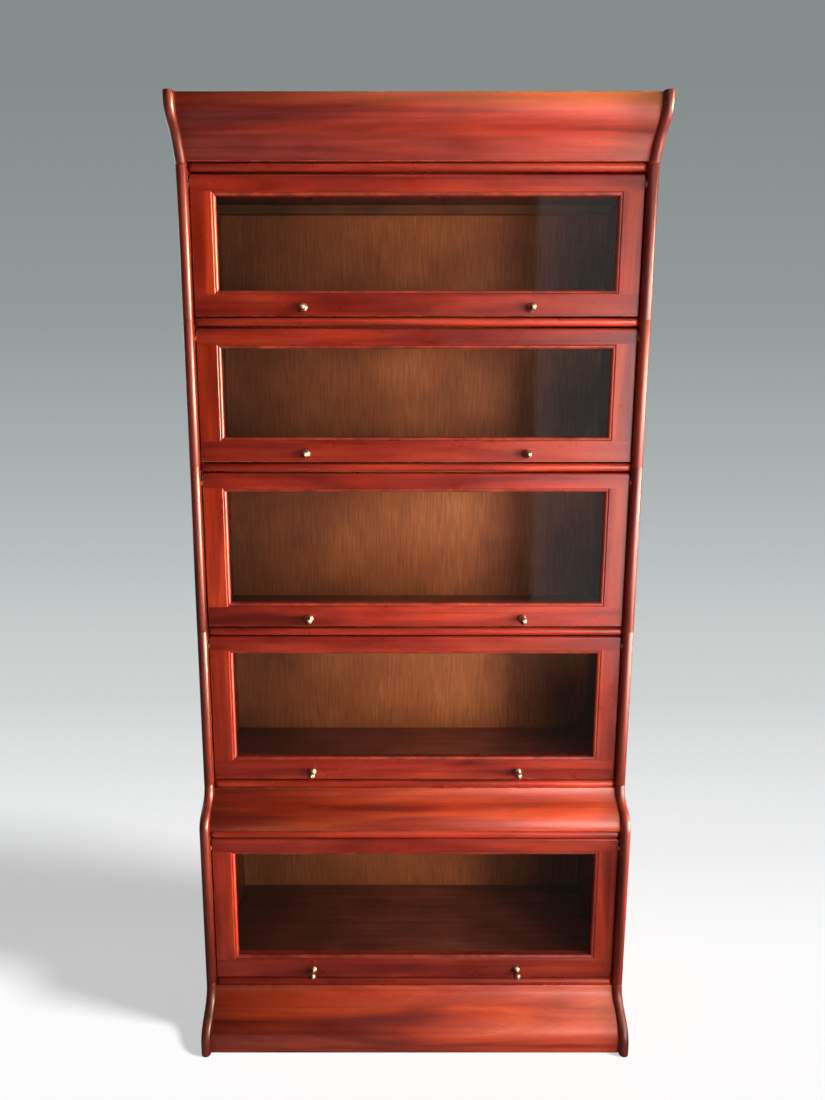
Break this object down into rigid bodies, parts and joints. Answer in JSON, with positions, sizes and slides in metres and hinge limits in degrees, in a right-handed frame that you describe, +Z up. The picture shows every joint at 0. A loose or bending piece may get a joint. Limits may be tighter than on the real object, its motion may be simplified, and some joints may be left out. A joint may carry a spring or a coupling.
{
  "type": "barrister bookcase",
  "caption": "Stacked sectional bookcase in red mahogany with a glazed lift-and-slide door on every section, deeper lower section, flared plinth and coved cornice",
  "frame": {"origin": "on the floor, under the middle of the overall box", "axes": "+X to the right across the front, +Y from the glazed front to the back, +Z up"},
  "size_m": [0.864, 0.417, 1.816],
  "materials": {
    "mahogany": "polished red mahogany",
    "secondary_wood": "unpolished stained pine",
    "back_plywood": "thin stained plywood",
    "glass": "clear drawn sheet glass",
    "aged_brass": "dark aged brass",
    "slide_steel": "plain drawn steel"
  },
  "bodies": {
    "case": {"base_back_rail": "secondary_wood", "base_corner_blocks": "secondary_wood", "base_front": "mahogany", "base_left_end": "mahogany", "base_right_end": "mahogany", "cornice_back_rail": "secondary_wood", "cornice_bottom": "mahogany", "cornice_front": "mahogany", "cornice_left_end": "mahogany", "cornice_right_end": "mahogany", "cornice_top": "mahogany", "door_runners": "slide_steel", "section_1_back": "back_plywood", "section_1_left_end": "mahogany", "section_1_right_end": "mahogany", "section_1_shelf": "mahogany", "section_2_back": "back_plywood", "section_2_left_end": "mahogany", "section_2_right_end": "mahogany", "section_2_shelf": "mahogany", "section_3_back": "back_plywood", "section_3_left_end": "mahogany", "section_3_right_end": "mahogany", "section_3_shelf": "mahogany", "section_4_back": "back_plywood", "section_4_left_end": "mahogany", "section_4_right_end": "mahogany", "section_4_shelf": "mahogany", "section_5_back": "back_plywood", "section_5_left_end": "mahogany", "section_5_right_end": "mahogany", "section_5_shelf": "mahogany", "section_5_top": "mahogany", "section_back_rails": "secondary_wood", "shoulder_front": "mahogany"},
    "carriage_1": {"door_1_slide": "slide_steel"},
    "door_1": {"door_1_frame": "mahogany", "door_1_glass": "glass", "door_1_beads": "mahogany", "door_1_knobs_and_studs": "aged_brass"},
    "carriage_2": {"door_2_slide": "slide_steel"},
    "door_2": {"door_2_frame": "mahogany", "door_2_glass": "glass", "door_2_beads": "mahogany", "door_2_knobs_and_studs": "aged_brass"},
    "carriage_3": {"door_3_slide": "slide_steel"},
    "door_3": {"door_3_frame": "mahogany", "door_3_glass": "glass", "door_3_beads": "mahogany", "door_3_knobs_and_studs": "aged_brass"},
    "carriage_4": {"door_4_slide": "slide_steel"},
    "door_4": {"door_4_frame": "mahogany", "door_4_glass": "glass", "door_4_beads": "mahogany", "door_4_knobs_and_studs": "aged_brass"},
    "carriage_5": {"door_5_slide": "slide_steel"},
    "door_5": {"door_5_frame": "mahogany", "door_5_glass": "glass", "door_5_beads": "mahogany", "door_5_knobs_and_studs": "aged_brass"}
  },
  "joints": [
    {"name": "door_1_push_back", "type": "slide", "parent": "case", "child": "carriage_1", "axis": [0, 1, 0], "range_m": [0, 0.175]},
    {"name": "door_1_lift", "type": "hinge", "parent": "carriage_1", "child": "door_1", "pos_m": [0, -0.062, 1.6935], "axis": [-1, 0, 0], "range_deg": [0, 90]},
    {"name": "door_2_push_back", "type": "slide", "parent": "case", "child": "carriage_2", "axis": [0, 1, 0], "range_m": [0, 0.189]},
    {"name": "door_2_lift", "type": "hinge", "parent": "carriage_2", "child": "door_2", "pos_m": [0, -0.062, 1.4245], "axis": [-1, 0, 0], "range_deg": [0, 90]},
    {"name": "door_3_push_back", "type": "slide", "parent": "case", "child": "carriage_3", "axis": [0, 1, 0], "range_m": [0, 0.216]},
    {"name": "door_3_lift", "type": "hinge", "parent": "carriage_3", "child": "door_3", "pos_m": [0, -0.062, 1.1555], "axis": [-1, 0, 0], "range_deg": [0, 90]},
    {"name": "door_4_push_back", "type": "slide", "parent": "case", "child": "carriage_4", "axis": [0, 1, 0], "range_m": [0, 0.216]},
    {"name": "door_4_lift", "type": "hinge", "parent": "carriage_4", "child": "door_4", "pos_m": [0, -0.062, 0.83], "axis": [-1, 0, 0], "range_deg": [0, 90]},
    {"name": "door_5_push_back", "type": "slide", "parent": "case", "child": "carriage_5", "axis": [0, 1, 0], "range_m": [0, 0.254]},
    {"name": "door_5_lift", "type": "hinge", "parent": "carriage_5", "child": "door_5", "pos_m": [0, -0.118, 0.4235], "axis": [-1, 0, 0], "range_deg": [0, 90]}
  ]
}
